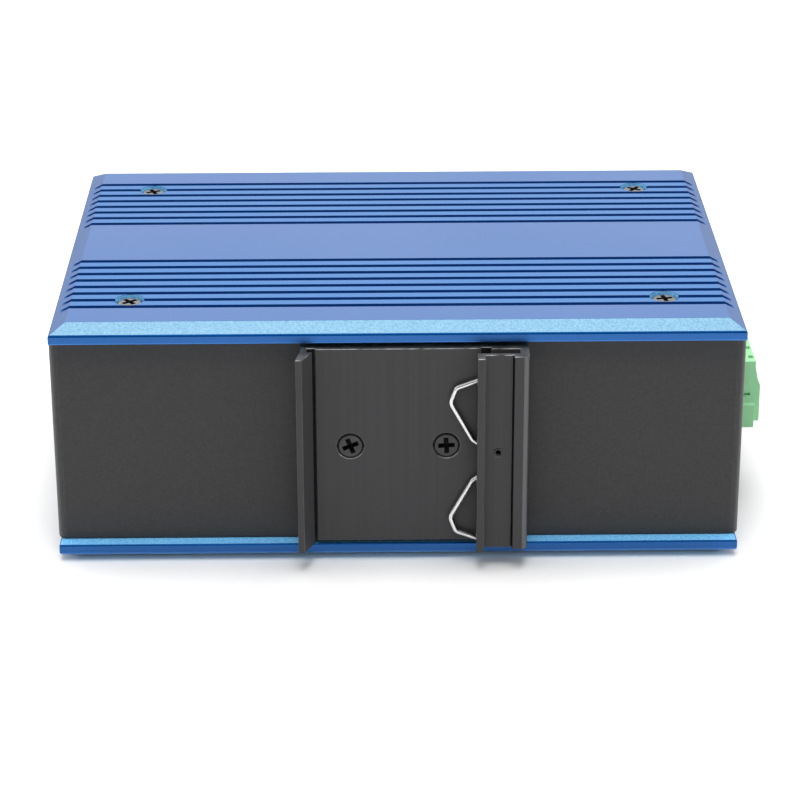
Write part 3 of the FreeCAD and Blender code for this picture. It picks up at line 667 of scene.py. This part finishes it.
clip_low, clip_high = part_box("din_clip")
clip_edge = 0.11 * mm
base_height = 3.5 * mm        # heights are over the rear wall
channel_floor = 0.5 * mm
notch_height = 7 * mm
notch_inset = 3.2 * mm        # from the lip's outer side
notch_width = 0.4 * mm
shoulder_width = 2 * mm


def clip_height(face):
    return case_low.y - face.center.y


def in_channel(face):
    """True on the floors and walls of the narrow channels that are sunk in the clip's base."""
    sunk = channel_floor < clip_height(face) < base_height - flush
    return sunk and upright(face) and face.normal.y < 0.1


def in_notch(face):
    """True in the fine notch that the die leaves along the lip's shoulder."""
    aside = abs(face.center.x - clip_high.x + notch_inset)
    return clip_height(face) > notch_height and aside < notch_width / 2 and upright(face)


def on_shoulder(face):
    """True on the rounded outer corner of the lip."""
    turned = 0.15 < face.normal.x < 0.9 and face.normal.y < -0.3
    return turned and face.center.x > clip_high.x - shoulder_width and upright(face)


def clip_finish(face):
    """The finish of a face of the clip, or of one of its rounded edges."""
    rounded = face.material_index == 1
    if rounded and face.normal.z > 0.3:
        return rubbed_edge_glint if face.normal.y < -0.2 else worn_black
    # Painted shade in the notch and the channels.
    if in_notch(face) or not rounded and in_channel(face):
        return recess_shade_black
    if on_shoulder(face):
        return shoulder_highlight_black
    return worn_black if rounded or abs(face.normal.z) > 0.9 else anodised_black


clip = joined_copy("din_clip", *clip_finishes)
round_edges(clip, clip_edge)
for face in clip.data.polygons:
    face.material_index = clip_finishes.index(clip_finish(face))
put_in_place(clip, "din_clip")


# ---- Clip screws ---------------------------------------------------------------------
# M3 screws with a flat countersunk head and a cross recess, blackened with oxide and oil.

flat_head_radius = 2.75 * mm
head_edge = 0.42 * mm


def countersunk_screw(length, finish, recess_shade_finish):
    """The flat of the head is at the origin, and the cone and the shank are below it."""
    deselect_all()
    cone = flat_head_radius - shank_radius
    bpy.ops.mesh.primitive_cone_add(vertices=48, radius1=shank_radius, radius2=flat_head_radius,
                                    depth=cone, location=(0, 0, -cone / 2))
    screw = bpy.context.object
    screw.data.materials.append(finish)
    screw.data.materials.append(recess_shade_finish)
    apply_place(screw)
    select_faces(screw, lambda face: face.normal.z < -0.9)
    bpy.ops.mesh.extrude_region_move(TRANSFORM_OT_translate={"value": (0, 0, cone - length)})
    bpy.ops.object.mode_set(mode="OBJECT")
    # The bevelled rim of the head takes the painted shade, as a dark ring in its countersink.
    select_faces(screw, lambda face: face.normal.z > 0.9)
    bpy.ops.mesh.bevel(offset=head_edge, segments=3, material=1)
    bpy.ops.object.mode_set(mode="OBJECT")
    boolean(screw, cross_cutter(0, recess_shade_finish), "DIFFERENCE")
    return screw


black_oxide = metal_finish("black_oxide", ((0.028, 0.028, 0.029), (0.05, 0.05, 0.052)), (0.28, 0.38),
                           grains=900.0, Metallic=0.5)
screw_low, screw_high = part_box("clip_screws")
screw_z = (screw_low.z + screw_high.z) / 2
clip_screw = countersunk_screw(screw_high.y - screw_low.y, black_oxide, recess_shade_black)
fastener_copies(clip_screw, "clip_screws_finished",
                [(screw_low.x + flat_head_radius, screw_low.y, screw_z),
                 (screw_high.x - flat_head_radius, screw_low.y, screw_z)],
                (math.pi / 2, 0, 0), (22, 3), "clip_screws")
bpy.data.objects.remove(clip_screw)


# ---- Rail spring ---------------------------------------------------------------------
# One length of drawn spring steel wire, bent into two loops that reach out from under
# the clip's lip and press on the rail's edge.

wire_radius = 0.55 * mm
bend_kappa = 0.55             # handle length that makes a curve nearly round
spring_low, spring_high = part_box("rail_spring")
spring_y = (spring_low.y + spring_high.y) / 2
spring_z = (spring_low.z + spring_high.z) / 2
half_spring = [               # upper end to middle, in mm: X, height over the middle, bend radius
    (22.6, 17.0, 0.0),
    (17.4, 18.0, 1.5),
    (11.7, 15.9, 1.2),
    (10.5, 12.7, 1.8),
    (15.0, 4.6, 1.0),
    (17.0, 3.2, 1.0),
    (19.0, 0.0, 1.5)]


def bent_wire(name, bends, radius):
    """A round wire through the corners, each rounded to its own bend radius."""
    line = bpy.data.curves.new(name, "CURVE")
    line.dimensions = "3D"
    line.bevel_depth = radius
    line.bevel_resolution = 5
    line.resolution_u = 8
    line.use_fill_caps = True
    stops = [(bends[0][0], bends[0][0], bends[0][0])]
    for (before, _), (corner, bend), (after, _) in zip(bends, bends[1:], bends[2:]):
        back = (before - corner).normalized()
        ahead = (after - corner).normalized()
        reach = bend / math.tan(back.angle(ahead) / 2)
        first = corner + back * reach
        last = corner + ahead * reach
        stops.append((first, first, first.lerp(corner, bend_kappa)))
        stops.append((last, last.lerp(corner, bend_kappa), last))
    stops.append((bends[-1][0], bends[-1][0], bends[-1][0]))
    spline = line.splines.new("BEZIER")
    spline.bezier_points.add(len(stops) - 1)
    for point, (place, left, right) in zip(spline.bezier_points, stops):
        point.co = place
        point.handle_left = left
        point.handle_right = right
    piece = bpy.data.objects.new(name, line)
    bpy.context.scene.collection.objects.link(piece)
    make_active(piece)
    bpy.ops.object.convert(target="MESH")
    return bpy.context.object


other_half = [(x, -rise, bend) for x, rise, bend in reversed(half_spring[:-1])]
spring_bends = [(Vector((x * mm, spring_y, spring_z + rise * mm)), bend * mm)
                for x, rise, bend in half_spring + other_half]
rail_spring = bent_wire("rail_spring_finished", spring_bends, wire_radius)
bpy.ops.object.shade_smooth()
spring_wire = metal_finish("spring_wire", ((0.62, 0.61, 0.60), (0.76, 0.75, 0.74)), (0.18, 0.28),
                           grains=1500.0, Metallic=1.0)
rail_spring.data.materials.append(spring_wire)
put_in_place(rail_spring, "rail_spring")


# ---- Spring's pin --------------------------------------------------------------------
# A short length of hard steel tube, blackened outside like the screws, and pressed through the
# clip's lip between the spring's two ends. Its bore is painted bright: painted light for the lighter
# centre the pin shows.

dark_steel = metal_finish("dark_steel", (grey(0.02), grey(0.05)), (0.25, 0.35), Metallic=0.5)
pin_wall = 0.4 * mm
pin_edge = 0.12 * mm
pin_low, pin_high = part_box("spring_pin")
pin_axis = (pin_low + pin_high) / 2
bore_radius = (pin_high.x - pin_low.x) / 2 - pin_wall

pin = joined_copy("spring_pin", dark_steel, spring_wire)
round_edges(pin, pin_edge)
for face in pin.data.polygons:
    from_axis = math.hypot(face.center.x - pin_axis.x, face.center.z - pin_axis.z)
    in_bore = from_axis < bore_radius + flush and abs(face.normal.y) < 0.5
    # The bore takes the bright wire finish as painted light.
    face.material_index = 1 if in_bore else 0
put_in_place(pin, "spring_pin")


# ---- Supply plug ---------------------------------------------------------------------
# Moulded in light green polyamide with a faintly matt skin. It slides off the pins of
# its header, so it rides on its own body with its clamps and screws.

def moulded_finish(name, tones, rough, **constants):
    """A moulded plastic: almost one tone, a matt skin and a very fine grain."""
    return grained_finish(name, tones, rough, grains=3500.0, patches=60.0, depth=0.06, **constants)


def soften(cad_node, edge, finish, body="case"):
    """Rounds all the edges of a CAD node's piece, by a width in mm."""
    piece = joined_copy(cad_node, finish, finish)
    round_edges(piece, edge * mm)
    put_in_place(piece, cad_node, body)


plug_green = moulded_finish("plug_green", ((0.26, 0.62, 0.31), (0.28, 0.65, 0.33)), (0.42, 0.5),
                            Subsurface_Weight=0.05, Subsurface_Scale=0.002)
header_green = moulded_finish("header_green", ((0.16, 0.41, 0.20), (0.18, 0.44, 0.22)), (0.4, 0.5))
tin_plate = metal_finish("tin_plate", ((0.52, 0.52, 0.53), grey(0.66)), (0.25, 0.38), Metallic=1.0)
soften("terminal_plug", 0.15, plug_green, "plug")
soften("terminal_clamps", 0.06, tin_plate, "plug")
soften("terminal_screws", 0.06, nickel, "plug")
soften("terminal_header", 0.1, header_green)
soften("header_pins", 0.06, tin_plate)


# ---- Network sockets -----------------------------------------------------------------
# A black moulded housing in a folded tin-plated can, with sprung gold-plated contacts at the
# roof or floor of each socket, and two clear light pipes between the rows in each column.
# Four longer light pipes bring the status lights from the board to the panel.

black_plastic = moulded_finish("black_plastic", ((0.020, 0.020, 0.021), (0.028, 0.028, 0.029)),
                               (0.38, 0.5))
gold_plate = metal_finish("gold_plate", ((0.72, 0.50, 0.20), (0.85, 0.62, 0.28)), (0.2, 0.3),
                          Metallic=1.0)
clear_plastic = moulded_finish("clear_plastic", ((0.80, 0.81, 0.80), (0.86, 0.87, 0.86)), (0.12, 0.2),
                               Transmission_Weight=0.5, IOR=1.49)
soften("jack_housing", 0.1, black_plastic)
soften("jack_shield", 0.08, tin_plate)
soften("jack_contacts", 0.05, gold_plate)
soften("jack_light_pipes", 0.12, clear_plastic)
soften("panel_light_pipes", 0.12, clear_plastic)


# ---- Inside --------------------------------------------------------------------------
# The lacquered board and what it carries, as they come from their makers. None of it
# shows while the case is closed, so these pieces keep the CAD model's shapes.

board_green = moulded_finish("board_green", ((0.012, 0.085, 0.035), (0.018, 0.11, 0.045)), (0.3, 0.4))
nylon = moulded_finish("nylon", ((0.70, 0.69, 0.64), (0.76, 0.75, 0.70)), (0.4, 0.5))
chip_black = moulded_finish("chip_black", ((0.03, 0.03, 0.032), (0.042, 0.042, 0.044)), (0.45, 0.55))
led_white = moulded_finish("led_white", ((0.70, 0.70, 0.66), (0.78, 0.78, 0.74)), (0.3, 0.4))
pad_grey = moulded_finish("pad_grey", ((0.32, 0.34, 0.36), (0.38, 0.40, 0.42)), (0.6, 0.7))
plain_aluminium = metal_finish("plain_aluminium", ((0.70, 0.70, 0.71), (0.80, 0.80, 0.81)), (0.3, 0.42),
                               Metallic=1.0)
ferrite = metal_finish("ferrite", ((0.045, 0.045, 0.05), (0.065, 0.065, 0.07)), (0.5, 0.6))
inner_finishes = {
    "main_board": board_green,
    "board_supports": nylon,
    "clip_nuts": nickel,
    "status_leds": led_white,
    "switch_chip": chip_black,
    "port_transformers": chip_black,
    "thermal_pad": pad_grey,
    "heat_block": plain_aluminium,
    "capacitors": plain_aluminium,
    "power_inductor": ferrite}
for cad_node, finish in inner_finishes.items():
    cad_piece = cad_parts[cad_node]
    cad_piece.data.materials.clear()
    cad_piece.data.materials.append(finish)
